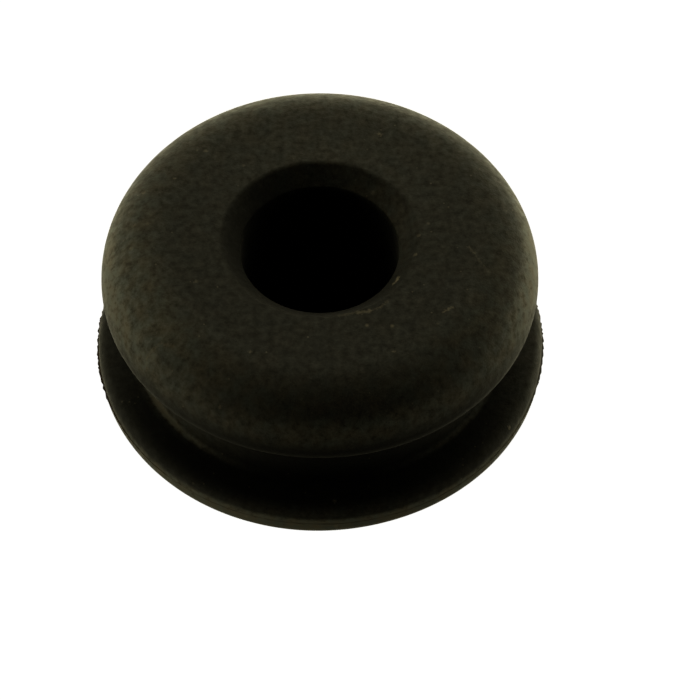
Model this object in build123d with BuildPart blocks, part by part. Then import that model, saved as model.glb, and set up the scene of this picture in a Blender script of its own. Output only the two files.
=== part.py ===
from build123d import *

import os

# Rubber bushing: a grommet-type bush moulded in one piece of black rubber. A panel's edge sits in the
# groove between its two flanges, and a bolt or pin passes through the bore.
# Millimetres. +Z runs up the bore. The origin is the centre of the base, where the wider flange stands.

# Neck: the hole in a panel closes round it, and both flanges stand out past it.
neck_radius = 10.1
groove_width = 3.75
groove_root_round = 0.4

# Lower flange: the wider and thinner one, which the bushing stands on.
lower_overhang = 2.25
lower_thickness = 2.45
lower_base_round = 0.95
lower_top_round = 0.8

# Flash: the thin fin of rubber that the mould's joint leaves round the lower flange.
flash_reach = 0.15
flash_root_thickness = 0.2
flash_tip_thickness = 0.06

# Upper flange: the thicker one. Only a narrow rim and a narrow underside stay straight on it.
upper_overhang = 1.9
upper_thickness = 4.65
upper_rim = 0.1
upper_underside = 0.3

# Bore: straight, with a countersunk mouth that leads a bolt in.
bore_radius = 4.35
bore_base_round = 0.3
countersink_depth = 1.0
countersink_edge_round = 0.2

# Radii and heights of the flanges.
lower_radius = neck_radius + lower_overhang
upper_radius = neck_radius + upper_overhang
groove_top = lower_thickness + groove_width
height = groove_top + upper_thickness

# The upper flange's lower edge takes what the underside leaves, and its shoulder what the rim leaves.
upper_edge_round = upper_overhang - groove_root_round - upper_underside
upper_shoulder_round = upper_thickness - upper_rim - upper_edge_round

# Each corner of the half section outside the bore, from the base upwards, with its rounding.
outline = [
    ((0, 0), 0),
    ((lower_radius, 0), lower_base_round),
    ((lower_radius, lower_thickness), lower_top_round),
    ((neck_radius, lower_thickness), groove_root_round),
    ((neck_radius, groove_top), groove_root_round),
    ((upper_radius, groove_top), upper_edge_round),
    ((upper_radius, height), upper_shoulder_round),
    ((0, height), 0),
]

with BuildPart() as bushing:
    # Body: both flanges and the neck, turned from one half section.
    with BuildSketch(Plane.XZ):
        with BuildLine():
            FilletPolyline(
                [corner for corner, rounding in outline],
                radius=[rounding for corner, rounding in outline],
                close=True,
            )
        make_face()
    revolve(axis=Axis.Z)

    # Bore: straight through, with a small round at the base and a countersink of 45 degrees at the mouth,
    # whose two edges are eased.
    Hole(bore_radius)
    base_edge = bushing.faces().sort_by(Axis.Z)[0].edges().sort_by(SortBy.RADIUS)[0]
    fillet(base_edge, bore_base_round)
    mouth_edge = bushing.faces().sort_by(Axis.Z)[-1].edges().sort_by(SortBy.RADIUS)[0]
    chamfer(mouth_edge, countersink_depth)
    countersink = bushing.faces().filter_by(GeomType.CONE)[0]
    fillet(countersink.edges().filter_by(GeomType.CIRCLE), countersink_edge_round)

    # Flash: half way up the straight wall of the lower flange, with its root sunk into the wall.
    flash_height = (lower_base_round + lower_thickness - lower_top_round) / 2
    flash_section = [
        (lower_radius - flash_reach, flash_root_thickness / 2),
        (lower_radius, flash_root_thickness / 2),
        (lower_radius + flash_reach, flash_tip_thickness / 2),
        (lower_radius + flash_reach, -flash_tip_thickness / 2),
        (lower_radius, -flash_root_thickness / 2),
        (lower_radius - flash_reach, -flash_root_thickness / 2),
    ]
    with BuildSketch(Plane.XZ.shift_origin((0, 0, flash_height))):
        with BuildLine():
            Polyline(flash_section, close=True)
        make_face()
    revolve(axis=Axis.Z)

bushing.part.label = "bushing"

os.makedirs("parts", exist_ok=True)
export_step(bushing.part, "parts/bushing.step")
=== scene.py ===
import math

import bpy
import numpy as np
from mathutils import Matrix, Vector


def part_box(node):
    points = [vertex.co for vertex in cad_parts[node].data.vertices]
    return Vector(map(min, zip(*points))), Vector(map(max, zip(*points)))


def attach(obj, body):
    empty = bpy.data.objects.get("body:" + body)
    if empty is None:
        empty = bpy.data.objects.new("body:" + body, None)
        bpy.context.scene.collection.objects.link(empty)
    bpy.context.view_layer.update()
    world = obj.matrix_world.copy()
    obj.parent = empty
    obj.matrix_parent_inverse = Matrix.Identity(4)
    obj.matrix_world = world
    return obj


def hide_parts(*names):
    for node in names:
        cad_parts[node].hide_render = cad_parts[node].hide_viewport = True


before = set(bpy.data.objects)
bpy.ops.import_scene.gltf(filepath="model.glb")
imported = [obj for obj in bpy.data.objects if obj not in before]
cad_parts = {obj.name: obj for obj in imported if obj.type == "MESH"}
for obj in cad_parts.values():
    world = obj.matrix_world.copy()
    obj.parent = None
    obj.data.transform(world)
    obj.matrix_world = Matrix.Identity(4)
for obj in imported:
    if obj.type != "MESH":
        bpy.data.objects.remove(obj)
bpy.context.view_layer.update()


# The moulded body
# One piece of black rubber, pressed and cured in a two-part mould: a thick flange with a large round
# shoulder, a neck for the panel's edge, a thinner and wider flange to stand on, and a countersunk bore.
# Rubber leaves its mould soft, so the flanges are a few hundredths of a millimetre off true.

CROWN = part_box("bushing")[1]
FLASH_REACH = 0.00015
LIP_BURR = 0.00004
WIDE_RADIUS = CROWN.x - FLASH_REACH
WIDE_THICKNESS = 0.00245
WIDE_BASE_ROUND = 0.00095
WIDE_TOP_ROUND = 0.0008
NECK_RADIUS = WIDE_RADIUS - 0.00225
NECK_ROUND = 0.0004
GROOVE_TOP = WIDE_THICKNESS + 0.00375
THICK_RADIUS = NECK_RADIUS + 0.0019
THICK_EDGE_ROUND = 0.0012
THICK_TOP = CROWN.z - LIP_BURR
SHOULDER_ROUND = 0.00335
BORE_RADIUS = 0.00435
BORE_BASE_ROUND = 0.0003
COUNTERSINK = 0.001
COUNTERSINK_EDGE = 0.0002
MOUTH_RADIUS = BORE_RADIUS + COUNTERSINK
ROUND_THE_BODY = 560


def rounded_outline(corners, roundings, step):
    """Points (radius, height) along a closed outline of straight sides, each corner rounded by an arc.

    The arc leaves each side at rounding * tan(turn / 2) from the corner, where turn is how far the outline
    turns there. Its points are centre + (first * sin(turn * (1 - s)) + last * sin(turn * s)) / sin(turn),
    where first and last are the arc's end radii and s runs from 0 to 1. A larger arc has more points, and
    the straight runs between the arcs are divided evenly, at about the step.
    """
    corners = np.array(corners)
    last_side = np.roll(corners, 1, axis=0) - corners
    next_side = np.roll(corners, -1, axis=0) - corners
    last_side /= np.linalg.norm(last_side, axis=1, keepdims=True)
    next_side /= np.linalg.norm(next_side, axis=1, keepdims=True)
    turns = math.pi - np.arccos(np.sum(last_side * next_side, axis=1))
    setbacks = np.array(roundings) * np.tan(turns / 2)
    starts = corners + last_side * setbacks[:, None]
    ends = corners + next_side * setbacks[:, None]
    inward = last_side + next_side
    inward /= np.linalg.norm(inward, axis=1, keepdims=True)
    centres = corners + inward * (np.array(roundings) / np.cos(turns / 2))[:, None]
    stretches = []
    for i, turn in enumerate(turns):
        points_on_arc = 6 + int(5 * math.sqrt(roundings[i] / step))
        s = np.linspace(0, 1, points_on_arc)[:, None]
        first = starts[i] - centres[i]
        last = ends[i] - centres[i]
        arc = (first * np.sin(turn * (1 - s)) + last * np.sin(turn * s)) / np.sin(turn)
        stretches.append(centres[i] + arc)
        run = starts[(i + 1) % len(corners)] - ends[i]
        divisions = 2 + int(np.linalg.norm(run) / step)
        stretches.append(ends[i] + run * np.linspace(0, 1, divisions)[1:-1, None])
    return np.concatenate(stretches)


def hump(angle, middle, width):
    """A smooth hump round the axis, 1 at its middle: exp(-(turn from the middle / width) squared)."""
    turn = np.arctan2(np.sin(angle - middle), np.cos(angle - middle))
    return np.exp(-(turn / width) ** 2)


def ramp(value, low, high):
    """A smooth step from 0 at low to 1 at high: t * t * (3 - 2 * t), with t the share of the way."""
    t = np.clip((value - low) / (high - low), 0, 1)
    return t * t * (3 - 2 * t)


def waver(angle, seed, turns):
    """A gentle waver round the axis, between -1 and 1: the mean of one cosine for each number of turns."""
    phases = np.random.default_rng(seed).uniform(0, 2 * math.pi, len(turns))
    waves = [np.cos(count * angle + phase) for count, phase in zip(turns, phases)]
    return np.mean(waves, axis=0)


def turned(name, radius, height, angle):
    """A closed mesh from grids of radius and height, one row along the outline and one column per angle.

    Each point is (radius * cos(angle), radius * sin(angle), height), and both directions close on
    themselves, so there is no seam and no pole.
    """
    rows, columns = radius.shape
    points = np.stack([radius * np.cos(angle), radius * np.sin(angle), height], axis=-1)
    row, column = np.meshgrid(np.arange(rows), np.arange(columns), indexing="ij")
    next_row = (row + 1) % rows
    next_column = (column + 1) % columns
    corners = [row * columns + column, row * columns + next_column,
               next_row * columns + next_column, next_row * columns + column]
    faces = np.stack(corners, axis=-1).reshape(-1, 4)
    mesh = bpy.data.meshes.new(name)
    mesh.vertices.add(rows * columns)
    mesh.vertices.foreach_set("co", points.astype(np.float32).ravel())
    mesh.loops.add(faces.size)
    mesh.loops.foreach_set("vertex_index", faces.astype(np.int32).ravel())
    mesh.polygons.add(len(faces))
    mesh.polygons.foreach_set("loop_start", np.arange(0, faces.size, 4, dtype=np.int32))
    mesh.update(calc_edges=True)
    mesh.shade_smooth()
    piece = bpy.data.objects.new(name, mesh)
    bpy.context.scene.collection.objects.link(piece)
    return piece


outline = rounded_outline(
    corners=[
        (BORE_RADIUS, 0),
        (WIDE_RADIUS, 0),
        (WIDE_RADIUS, WIDE_THICKNESS),
        (NECK_RADIUS, WIDE_THICKNESS),
        (NECK_RADIUS, GROOVE_TOP),
        (THICK_RADIUS, GROOVE_TOP),
        (THICK_RADIUS, THICK_TOP),
        (MOUTH_RADIUS, THICK_TOP),
        (BORE_RADIUS, THICK_TOP - COUNTERSINK),
    ],
    roundings=[BORE_BASE_ROUND, WIDE_BASE_ROUND, WIDE_TOP_ROUND, NECK_ROUND, NECK_ROUND,
               THICK_EDGE_ROUND, SHOULDER_ROUND, 2 * COUNTERSINK_EDGE, COUNTERSINK_EDGE],
    step=0.0004,
)
around = np.linspace(0, 2 * math.pi, ROUND_THE_BODY, endpoint=False)
radius, angle = np.meshgrid(outline[:, 0], around, indexing="ij")
height, angle = np.meshgrid(outline[:, 1], around, indexing="ij")

# The thick flange's lower edge sags a little at the front right, and the wide flange lifts in front.
SAG = 0.00013
SAG_FADES_FROM = 0.0065
SAG_FADES_TO = 0.0100
LIFT = 0.00008
past_neck = ramp(radius, NECK_RADIUS, WIDE_RADIUS)
above_groove = ramp(height, WIDE_THICKNESS, GROOVE_TOP)
low_on_thick_flange = past_neck * above_groove * (1 - ramp(height, SAG_FADES_FROM, SAG_FADES_TO))
on_wide_flange = past_neck * (1 - above_groove)
sagging = hump(angle, math.radians(-22), math.radians(32))
lifting = hump(angle, math.radians(-68), math.radians(24))
height = height - SAG * low_on_thick_flange * sagging + LIFT * on_wide_flange * lifting

# The countersink was trimmed by hand, so its edge wavers, and a sliver of skin stands along it in front.
TRIM_WAVER = 0.00004
WAVER_FADES_FROM = 0.0055
WAVER_FADES_TO = 0.0070
BURR_RADIUS = MOUTH_RADIUS + 0.00004
BURR_WIDTH = 0.00007
BURR_FROM_HEIGHT = 0.0100
near_mouth = 1 - ramp(radius, WAVER_FADES_FROM, WAVER_FADES_TO)
at_mouth = ramp(height, THICK_TOP - COUNTERSINK, THICK_TOP) * near_mouth
radius = radius + TRIM_WAVER * at_mouth * waver(angle, 5, (2, 3, 5, 9, 14))
ragged = 0.75 + 0.5 * waver(angle, 6, (31, 47, 70))
burr = np.clip(ragged * hump(angle, math.radians(-58), math.radians(20)), 0, 1)
on_burr = np.exp(-((radius - BURR_RADIUS) / BURR_WIDTH) ** 2) * ramp(height, BURR_FROM_HEIGHT, THICK_TOP)
height = height + LIP_BURR * on_burr * burr

body = turned("moulded_body", radius, height, angle)


def bloom_and_painted_light_at(radius, height, angle):
    """How pale the rubber is, from 0 where it is black to 1 or more where it is palest. Only some of it is
    real bloom and scuffing; most is painted light, paler where the tent's lamps fall and darker where shade
    falls.

    Radius and height are in millimetres. Each part of the surface has an amount made of humps round the
    axis, by bearing and width in degrees, and ramps blend the parts into each other.
    """
    def side(bearing, width):
        return hump(angle, math.radians(bearing), math.radians(width))

    # The thick flange: its top, the shoulder that turns paler outwards, and the straight side below it. Some
    # of the paleness is bloom, and the rest is painted light: the top is painted paler at the back and given
    # painted shade in front, the shoulder and the mouth are painted paler on the sides the lamps light, the
    # rim carries a painted sheen, and the low side in front gets painted light.
    top = 0.08 + 0.14 * side(90, 75) - 0.02 * side(-90, 22) * ramp(radius, 7.4, 8.2)
    shoulder = 0.11 + 0.65 * side(-162, 40) + 0.22 * side(-28, 30) + 0.12 * side(110, 40)
    rim = 0.65 * side(-172, 26) + 1.45 * side(-2, 26) + 0.18 * side(90, 40)
    painted_low_side_light = 0.58 * side(-80, 34) * (1 - ramp(height, 8.8, 9.8))
    outside = top + shoulder * ramp(radius, 7.8, 10.9) + rim * ramp(radius, 10.8, 11.7) + painted_low_side_light
    mouth = (0.33 * side(42, 58) + 0.05 * side(-125, 30) + 0.08 * side(95, 40)) * ramp(height, 9.4, 9.9)
    in_mouth = 1 - ramp(radius, 4.95, 5.65)
    thick_flange = ramp(height, 7.3, 8.7) * (outside + (mouth - outside) * in_mouth)

    # The groove: the neck, painted paler at its sides where light reaches in, and a painted highlight along
    # the corner at its foot.
    in_groove = 1 - ramp(height, 6.0, 6.4)
    on_neck = ramp(radius, 9.5, 10.1) * (1 - ramp(radius, 10.1, 10.3))
    neck = (0.50 * side(-155, 25) + 0.28 * side(-25, 20)) * on_neck
    from_corner = np.hypot(radius - 10.28, height - 2.51)
    painted_foot_highlight = (2.60 * side(-152, 22) + 0.55 * side(-42, 18)) * np.exp(-(from_corner / 0.16) ** 2)

    # The wide flange: its top and its shoulder in front, painted paler where light falls, and the edge it
    # stands on, painted pale all round and most in front, as painted light off the paper.
    wide_top = 0.03 * side(-175, 30) + 0.12 * side(-5, 45) + 0.32 * side(-88, 25) * ramp(radius, 11.6, 12.2)
    wide_top = wide_top * ramp(radius, 10.6, 10.8) * ramp(height, 1.7, 2.0)
    painted_edge_reflection = (0.25 + 2.20 * side(-92, 55)) * (1 - ramp(height, 1.3, 1.9)) * ramp(radius, 11.2, 12.0)
    return thick_flange + in_groove * (neck + wide_top) + painted_foot_highlight + painted_edge_reflection


# The paleness, bloom and painted light together, is kept on the body's points.
paleness = bloom_and_painted_light_at(radius * 1000, height * 1000, angle)
bloom_and_painted_light = body.data.attributes.new("bloom_and_painted_light", "FLOAT", "POINT")
bloom_and_painted_light.data.foreach_set("value", paleness.astype(np.float32).ravel())


def linear(hex_colour):
    """An sRGB hex colour such as "1e1c16" as linear red, green, blue and alpha."""
    channels = [int(hex_colour[i:i + 2], 16) / 255 for i in (0, 2, 4)]
    return [c / 12.92 if c <= 0.04045 else ((c + 0.055) / 1.055) ** 2.4 for c in channels] + [1]


def add_node(tree, kind, settings=None, links=None):
    """Adds a node of that kind, sets its properties and inputs, and links its inputs to outputs."""
    node = tree.nodes.new(kind)
    for name, value in (settings or {}).items():
        if hasattr(node, str(name)):
            setattr(node, name, value)
        else:
            node.inputs[name].default_value = value
    for name, output in (links or {}).items():
        tree.links.new(output, node.inputs[name])
    return node


# Natural rubber filled with carbon black, moulded against spark-eroded steel and never polished: near
# black, with a dull even sheen and an orange-peel skin. Handling has brought up a mottled grey bloom where
# it is exposed, and painted light is mixed into the same pale layer: the pale colours below stand for the
# bloom and for painted highlights, sheen and shade alike. The dust on it shows as a soft pale edge where the
# surface turns away.
RUBBER = linear("121210")
PALE_WARM = linear("aaa18f")
PALE_COOL = linear("999e98")
# Dust, and the painted highlights at the countersink's edge, share this colour.
DUST_AND_HIGHLIGHT = linear("c8bba2")
# Sizes of patterns are in millimetres, and depths in metres. The grain that the eroded steel leaves is about
# 0.03 mm across, too fine to show, so it is drawn four times as coarse.
MOTTLE_SIZE = 0.40
TINT_SIZE = 0.8
GRAIN_SIZE = 0.12
GRAIN_DEPTH = 0.000018
PEEL_SIZE = 0.9
PEEL_DEPTH = 0.00004


def per_metre(millimetres):
    """The Scale of a texture whose features are that many millimetres across."""
    return 1000 / millimetres


rubber = bpy.data.materials.new("black_moulded_rubber")
rubber.use_nodes = True
tree = rubber.node_tree
shader = tree.nodes["Principled BSDF"]
shader.inputs["IOR"].default_value = 1.5
shader.inputs["Sheen Weight"].default_value = 0.2
shader.inputs["Sheen Roughness"].default_value = 0.4
place = add_node(tree, "ShaderNodeTexCoord").outputs["Object"]

# The pale layer, bloom and painted light together, is patchy, and warmer in some places than in others. A
# Mix node takes two colours at its inputs 6 and 7, and gives the mixed one at its output 2.
mottle = add_node(tree, "ShaderNodeTexNoise",
                  {"Scale": per_metre(MOTTLE_SIZE), "Detail": 3, "Roughness": 0.65}, {"Vector": place})
patchiness = add_node(tree, "ShaderNodeMapRange",
                      {"From Min": 0.3, "From Max": 0.7, "To Min": 0.28, "To Max": 1.12},
                      {"Value": mottle.outputs["Fac"]})
tint = add_node(tree, "ShaderNodeTexNoise", {"Scale": per_metre(TINT_SIZE), "Detail": 2}, {"Vector": place})
hue = add_node(tree, "ShaderNodeMapRange", {"From Min": 0.35, "From Max": 0.65},
               {"Value": tint.outputs["Fac"]})
grey = add_node(tree, "ShaderNodeMix", {"data_type": "RGBA", 6: PALE_WARM, 7: PALE_COOL},
                {0: hue.outputs["Result"]})
bloom_and_light_there = add_node(tree, "ShaderNodeAttribute", {"attribute_name": "bloom_and_painted_light"})
bloom_and_light_amount = add_node(tree, "ShaderNodeMath", {"operation": "MULTIPLY"},
                   {0: bloom_and_light_there.outputs["Fac"], 1: patchiness.outputs["Result"]})
greyed = add_node(tree, "ShaderNodeMix", {"data_type": "RGBA", 6: RUBBER},
                  {0: bloom_and_light_amount.outputs[0], 7: grey.outputs[2]})
colour = greyed.outputs[2]


def pale_marked(tree, colour, distance, reach, strength):
    """A colour with a pale mark over it, dust in most places and a painted highlight at the countersink's
    edge: the full strength at distance 0, falling evenly to none at the reach.
    """
    amount = add_node(tree, "ShaderNodeMapRange", {"From Min": reach, "From Max": 0, "To Max": strength},
                      {"Value": distance})
    mix = add_node(tree, "ShaderNodeMix", {"data_type": "RGBA", 7: DUST_AND_HIGHLIGHT},
                   {0: amount.outputs["Result"], 6: colour})
    return mix.outputs[2]


# Fine dust all over: the distance is from the middle of each cell of a Voronoi pattern.
for spacing, speck_radius, strength in ((2.6, 0.15, 0.5), (0.8, 0.07, 0.4)):
    cells = add_node(tree, "ShaderNodeTexVoronoi", {"Scale": per_metre(spacing)}, {"Vector": place})
    colour = pale_marked(tree, colour, cells.outputs["Distance"], speck_radius / spacing, strength)

# The marks below have ragged edges, because they are drawn where the place is shifted a little by noise.
RAGGED_SIZE = 0.15
RAGGED_SHIFT = 0.0003
ragged_noise = add_node(tree, "ShaderNodeTexNoise", {"Scale": per_metre(RAGGED_SIZE), "Detail": 1},
                        {"Vector": place})
centred = add_node(tree, "ShaderNodeVectorMath", {"operation": "SUBTRACT", 1: (0.5, 0.5, 0.5)},
                   {0: ragged_noise.outputs["Color"]})
shift = add_node(tree, "ShaderNodeVectorMath", {"operation": "SCALE", "Scale": RAGGED_SHIFT},
                 {0: centred.outputs[0]})
shifted = add_node(tree, "ShaderNodeVectorMath", {"operation": "ADD"}, {0: place, 1: shift.outputs[0]})
ragged_place = shifted.outputs[0]

# The larger specks of grit and lint.
SPECKS = [
    # place and width in millimetres, strength
    ((-10.3, -0.4, 10.4), 0.28, 0.40), ((-6.7, -3.0, 10.8), 0.30, 0.30), ((-9.3, -4.9, 10.3), 0.28, 0.30),
    ((-3.7, -7.7, 10.8), 0.30, 0.40), ((-10.7, 0.4, 10.1), 0.30, 0.35), ((-5.3, -10.2, 9.2), 0.30, 0.50),
    ((-4.2, 5.1, 10.8), 0.30, 0.25), ((3.3, 7.3, 10.8), 0.34, 0.60), ((2.9, 3.7, 10.2), 0.34, 0.35),
    ((-6.3, 6.1, 10.8), 0.30, 0.50), ((-8.0, 4.2, 10.8), 0.30, 0.45), ((-9.7, 3.5, 10.4), 0.34, 0.35),
    ((-10.1, 1.2, 10.4), 0.30, 0.35), ((5.2, -1.1, 10.7), 0.36, 0.50), ((5.4, 0.2, 10.8), 0.28, 0.30),
    ((4.0, -7.7, 10.8), 0.26, 0.40), ((-0.3, -11.6, 9.0), 0.24, 0.25), ((10.4, -6.4, 2.1), 0.32, 0.80),
    ((12.0, -2.0, 2.1), 0.28, 0.40), ((-4.0, -11.7, 1.1), 0.36, 0.80), ((0.9, -12.3, 1.1), 0.32, 0.80),
]
for middle, width, strength in SPECKS:
    away = add_node(tree, "ShaderNodeVectorMath", {"operation": "DISTANCE", 1: Vector(middle) / 1000},
                    {0: ragged_place})
    colour = pale_marked(tree, colour, away.outputs["Value"], width / 2000, strength)

# Scratches and scuffs, and painted highlights at the countersink's edge: the distance is from the nearest
# point of each straight stretch.
SCRATCHES_AND_HIGHLIGHTS = [
    # places along it and width in millimetres, strength
    (((8.1, -0.6, 10.8), (8.4, -1.0, 10.8)), 0.26, 0.18),
    (((8.4, -1.0, 10.8), (8.7, -1.6, 10.8), (9.2, -2.3, 10.7)), 0.18, 0.14),
    (((6.7, -5.05, 10.8), (7.15, -4.75, 10.8)), 0.28, 0.50),
    (((-7.8, -7.0, 10.3), (-8.5, -6.6, 10.0), (-9.0, -6.7, 9.6), (-9.3, -6.9, 9.1), (-9.3, -7.3, 8.5)),
     0.24, 0.26),
    # A painted highlight along the countersink's near edge, and a painted glint on the nick beside it.
    (((1.0, -5.3, 10.8), (2.1, -5.1, 10.8)), 0.26, 0.20),
    (((2.1, -5.1, 10.8), (2.7, -5.0, 10.8)), 0.34, 0.45),
    (((2.7, -5.0, 10.8), (3.3, -4.7, 10.8), (3.7, -4.3, 10.8)), 0.24, 0.22),
    (((4.0, -2.75, 10.35), (4.25, -2.6, 10.4), (4.3, -2.35, 10.3)), 0.34, 0.80),
]
for stretches, width, strength in SCRATCHES_AND_HIGHLIGHTS:
    for start, end in zip(stretches, stretches[1:]):
        start, end = Vector(start) / 1000, Vector(end) / 1000
        along = end - start
        offset = add_node(tree, "ShaderNodeVectorMath", {"operation": "SUBTRACT", 1: start},
                          {0: ragged_place})
        share = add_node(tree, "ShaderNodeVectorMath",
                         {"operation": "DOT_PRODUCT", 1: along / along.length_squared},
                         {0: offset.outputs[0]})
        held = add_node(tree, "ShaderNodeClamp", {}, {"Value": share.outputs["Value"]})
        nearest = add_node(tree, "ShaderNodeVectorMath", {"operation": "SCALE", 0: along},
                           {"Scale": held.outputs[0]})
        away = add_node(tree, "ShaderNodeVectorMath", {"operation": "DISTANCE"},
                        {0: offset.outputs[0], 1: nearest.outputs[0]})
        colour = pale_marked(tree, colour, away.outputs["Value"], width / 2000, strength)

tree.links.new(colour, shader.inputs["Base Color"])

# Where the mottling is pale, the rubber is rubbed smoother.
dull = add_node(tree, "ShaderNodeMapRange",
                {"From Min": 0.3, "From Max": 0.7, "To Min": 0.71, "To Max": 0.49},
                {"Value": mottle.outputs["Fac"]})
tree.links.new(dull.outputs["Result"], shader.inputs["Roughness"])

# The orange peel and, finer than it, the grain stand up as bumps.
peel = add_node(tree, "ShaderNodeTexNoise", {"Scale": per_metre(PEEL_SIZE), "Detail": 1}, {"Vector": place})
grain = add_node(tree, "ShaderNodeTexNoise", {"Scale": per_metre(GRAIN_SIZE), "Detail": 2}, {"Vector": place})
peel_bump = add_node(tree, "ShaderNodeBump", {"Distance": PEEL_DEPTH, "Strength": 1.0},
                     {"Height": peel.outputs["Fac"]})
grain_bump = add_node(tree, "ShaderNodeBump", {"Distance": GRAIN_DEPTH, "Strength": 1.0},
                      {"Height": grain.outputs["Fac"], "Normal": peel_bump.outputs["Normal"]})
tree.links.new(grain_bump.outputs["Normal"], shader.inputs["Normal"])

body.data.materials.append(rubber)
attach(body, "root")
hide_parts("bushing")


# The mould flash
# Where the halves of the mould met, half way up the wide flange's wall, a skin of rubber squeezed out
# between them. It was torn off by hand, and a thin ragged fin is left, painted brown at the left where it
# is thinnest, to stand for light shining through it.

FLASH_HEIGHT = (WIDE_BASE_ROUND + WIDE_THICKNESS - WIDE_TOP_ROUND) / 2
FLASH_SUNK = 0.0001
FLASH_ROOT = 0.00012
FLASH_TIP = 0.00005
FLASH_DROOP = 0.00004
TEAR_PITCH = 0.00024
ROUND_THE_FLASH = 2880


def torn_edge(angle, pitch, seed):
    """How far the torn fin reaches, from 0 to 1, round the axis.

    Nibs and notches take turns at uneven angles, a pitch apart on average. A nib reaches to between 0.6
    and 1 and a notch to between 0 and 0.5, and the edge runs straight from each to the next, as a tear does.
    """
    draw = np.random.default_rng(seed)
    pairs = int(math.pi * WIDE_RADIUS / pitch)
    places = np.cumsum(draw.uniform(0.1, 1.9, 2 * pairs))
    places *= 2 * math.pi / places[-1]
    nibs = draw.uniform(0.6, 1, pairs)
    notches = draw.uniform(0, 0.5, pairs)
    return np.interp(angle, places, np.stack([nibs, notches], axis=-1).ravel(), period=2 * math.pi)


around = np.linspace(0, 2 * math.pi, ROUND_THE_FLASH, endpoint=False)
# Most of the fin is left at the left and right, and hardly any in front.
at_left = hump(around, math.radians(176), math.radians(32))
at_right = hump(around, math.radians(8), math.radians(32))
share_left_on = 0.10 + 1.05 * (at_left + at_right) + 0.12 * waver(around, 11, (2, 3, 5, 8, 13))
share_left_on = np.clip(share_left_on, 0.03, 1)
reach = FLASH_REACH * share_left_on * (0.3 + 0.7 * torn_edge(around, TEAR_PITCH, 12))
droop = FLASH_DROOP * waver(around, 13, (3, 7, 19, 41, 90))

# The fin's section: out along its underside from the root to the tip, then back along its top.
share_out = np.array([0, 0.4, 0.75, 1, 1, 0.75, 0.4, 0])[:, None]
side = np.array([-1, -1, -1, -1, 1, 1, 1, 1])[:, None]
thickness = FLASH_ROOT + (FLASH_TIP - FLASH_ROOT) * share_out
radius = WIDE_RADIUS - FLASH_SUNK + (FLASH_SUNK + reach) * share_out
height = FLASH_HEIGHT + droop * share_out + side * thickness / 2
flash = turned("mould_flash", radius, height, np.broadcast_to(around, radius.shape))

# The same rubber, torn and a few hundredths of a millimetre thick. Its brown is painted light: it stands
# for light coming through the thin fin at the left. Elsewhere the fin is painted as grey as the wall's
# painted paleness beside it.
TORN_DARK = linear("2a241c")
PAINTED_GLOW_BROWN = linear("5c4322")
WALL_MATCHED_GREY = linear("968e80")
TEAR_SIZE = 0.5
BROWN_TO_X = -0.011
GREY_FROM_X = -0.007
thin_rubber = bpy.data.materials.new("thin_torn_rubber")
thin_rubber.use_nodes = True
thin_tree = thin_rubber.node_tree
thin_shader = thin_tree.nodes["Principled BSDF"]
thin_shader.inputs["IOR"].default_value = 1.5
thin_shader.inputs["Roughness"].default_value = 0.6
thin_place = add_node(thin_tree, "ShaderNodeTexCoord").outputs["Object"]
across = add_node(thin_tree, "ShaderNodeSeparateXYZ", {}, {"Vector": thin_place})
greyness = add_node(thin_tree, "ShaderNodeMapRange", {"From Min": BROWN_TO_X, "From Max": GREY_FROM_X},
                    {"Value": across.outputs["X"]})
thin = add_node(thin_tree, "ShaderNodeMix", {"data_type": "RGBA", 6: PAINTED_GLOW_BROWN, 7: WALL_MATCHED_GREY},
                {0: greyness.outputs["Result"]})
tear = add_node(thin_tree, "ShaderNodeTexNoise", {"Scale": per_metre(TEAR_SIZE), "Detail": 2},
                {"Vector": thin_place})
thinness = add_node(thin_tree, "ShaderNodeMapRange", {"From Min": 0.35, "From Max": 0.65, "To Min": 0.5},
                    {"Value": tear.outputs["Fac"]})
torn = add_node(thin_tree, "ShaderNodeMix", {"data_type": "RGBA", 6: TORN_DARK},
                {0: thinness.outputs["Result"], 7: thin.outputs[2]})
thin_tree.links.new(torn.outputs[2], thin_shader.inputs["Base Color"])
flash.data.materials.append(thin_rubber)
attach(flash, "root")


# The table
# White paper, lit until it burns out. The paper is hidden from the rubber, which sees the tent's own low
# patches instead, and a black disc under the bore is painted shade: it stands for the shadow the body keeps
# there.

PAPER_HALF = 0.6
paper_mesh = bpy.data.meshes.new("white_paper")
paper_mesh.from_pydata(
    [(-PAPER_HALF, -PAPER_HALF, 0), (PAPER_HALF, -PAPER_HALF, 0),
     (PAPER_HALF, PAPER_HALF, 0), (-PAPER_HALF, PAPER_HALF, 0)], [], [(0, 1, 2, 3)])
paper = bpy.data.objects.new("white_paper", paper_mesh)
bpy.context.scene.collection.objects.link(paper)
paper.visible_diffuse = False
paper.visible_glossy = False
paper.visible_shadow = False
white = bpy.data.materials.new("burnt_out_white_paper")
white.use_nodes = True
paper_shader = white.node_tree.nodes["Principled BSDF"]
paper_shader.inputs["Base Color"].default_value = linear("f4f4f4")
paper_shader.inputs["Roughness"].default_value = 0.9
paper_shader.inputs["Emission Color"].default_value = linear("ffffff")
paper_shader.inputs["Emission Strength"].default_value = 1.0
paper_mesh.materials.append(white)

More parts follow.
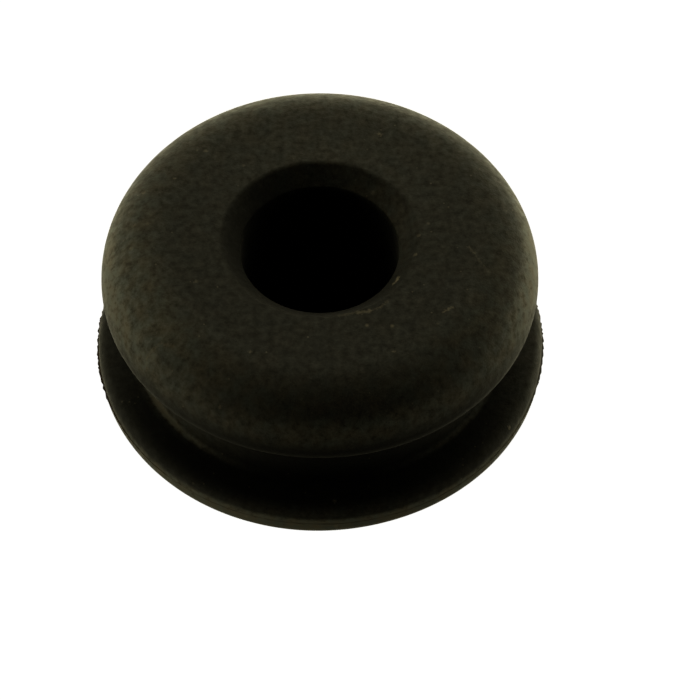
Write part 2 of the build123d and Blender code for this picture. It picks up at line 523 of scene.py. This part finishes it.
# A black disc under the bore: painted shade, standing for the deep shadow kept there.
SHADE_DISC_RADIUS = 0.009
SHADE_DISC_HEIGHT = 0.00002
SHADE_DISC_SIDES = 96
around = np.linspace(0, 2 * math.pi, SHADE_DISC_SIDES, endpoint=False)
rim = np.stack([SHADE_DISC_RADIUS * np.cos(around), SHADE_DISC_RADIUS * np.sin(around),
                np.full(SHADE_DISC_SIDES, SHADE_DISC_HEIGHT)], axis=-1)
shade_disc_mesh = bpy.data.meshes.new("painted_shade_disc")
shade_disc_mesh.from_pydata(rim.tolist(), [], [tuple(range(SHADE_DISC_SIDES))])
shade_disc = bpy.data.objects.new("painted_shade_disc", shade_disc_mesh)
bpy.context.scene.collection.objects.link(shade_disc)
shade_black = bpy.data.materials.new("painted_shade_black")
shade_black.use_nodes = True
shade_disc_shader = shade_black.node_tree.nodes["Principled BSDF"]
shade_disc_shader.inputs["Base Color"].default_value = linear("050505")
shade_disc_shader.inputs["Specular IOR Level"].default_value = 0
shade_disc_mesh.materials.append(shade_black)


# The light tent
# A white cloth tent, open towards the camera, and the bright paper below it, as soft patches of light. A
# patch's light falls off as the twelfth power of the cosine of the angle from its middle.

PATCH_POWER = 12
TENT_PATCHES = [
    # bearing from the front, height angle, brightness
    # The lamp above and behind.
    (180, 50, 0.85),
    # The paper behind, far and near, then at the right and, weaker, at the left.
    (180, -20, 1.7),
    (180, -50, 2.2),
    (135, -20, 1.2),
    (225, -30, 0.5),
    # The tent's right and left walls.
    (110, 5, 0.3),
    (250, 5, 0.5),
    # What little comes from the front, at the right and left.
    (60, -20, 0.2),
    (295, -20, 0.45),
]
world = bpy.data.worlds.new("light_tent")
world.use_nodes = True
tent = world.node_tree
facing = add_node(tent, "ShaderNodeTexCoord").outputs["Generated"]
total = None
for bearing, height_angle, brightness in TENT_PATCHES:
    a, e = math.radians(bearing), math.radians(height_angle)
    middle = (math.sin(a) * math.cos(e), -math.cos(a) * math.cos(e), math.sin(e))
    cosine = add_node(tent, "ShaderNodeVectorMath", {"operation": "DOT_PRODUCT", 1: middle}, {0: facing})
    lit = add_node(tent, "ShaderNodeMath", {"operation": "MAXIMUM", 1: 0}, {0: cosine.outputs["Value"]})
    soft = add_node(tent, "ShaderNodeMath", {"operation": "POWER", 1: PATCH_POWER}, {0: lit.outputs[0]})
    patch = add_node(tent, "ShaderNodeMath", {"operation": "MULTIPLY_ADD", 1: brightness, 2: 0},
                     {0: soft.outputs[0]})
    if total is not None:
        tent.links.new(total, patch.inputs[2])
    total = patch.outputs[0]
tent.nodes["Background"].inputs["Color"].default_value = linear("fff8cb")
tent.links.new(total, tent.nodes["Background"].inputs["Strength"])
bpy.context.scene.world = world
bpy.context.scene.view_settings.view_transform = "Standard"


# The camera
# A long lens in front of the body, looking down on it steeply. It is aimed a little to the right of the
# body and below it.

ELEVATION = math.radians(53.1)
DISTANCE = 0.3
AIMED_RIGHT = 0.001654
AIMED_DOWN = 0.002857
lens = bpy.data.cameras.new("camera")
lens.sensor_width = 36
lens.lens = 279.4
lens.clip_start = 0.01
lens.clip_end = 10
camera = bpy.data.objects.new("camera", lens)
right = Vector((1, 0, 0))
up = Vector((0, math.sin(ELEVATION), math.cos(ELEVATION)))
back = Vector((0, -math.cos(ELEVATION), math.sin(ELEVATION)))
target = Vector((0, 0, CROWN.z / 2)) + right * AIMED_RIGHT - up * AIMED_DOWN
camera.location = target + back * DISTANCE
camera.rotation_euler = back.to_track_quat("Z", "Y").to_euler()
bpy.context.scene.collection.objects.link(camera)
bpy.context.scene.camera = camera
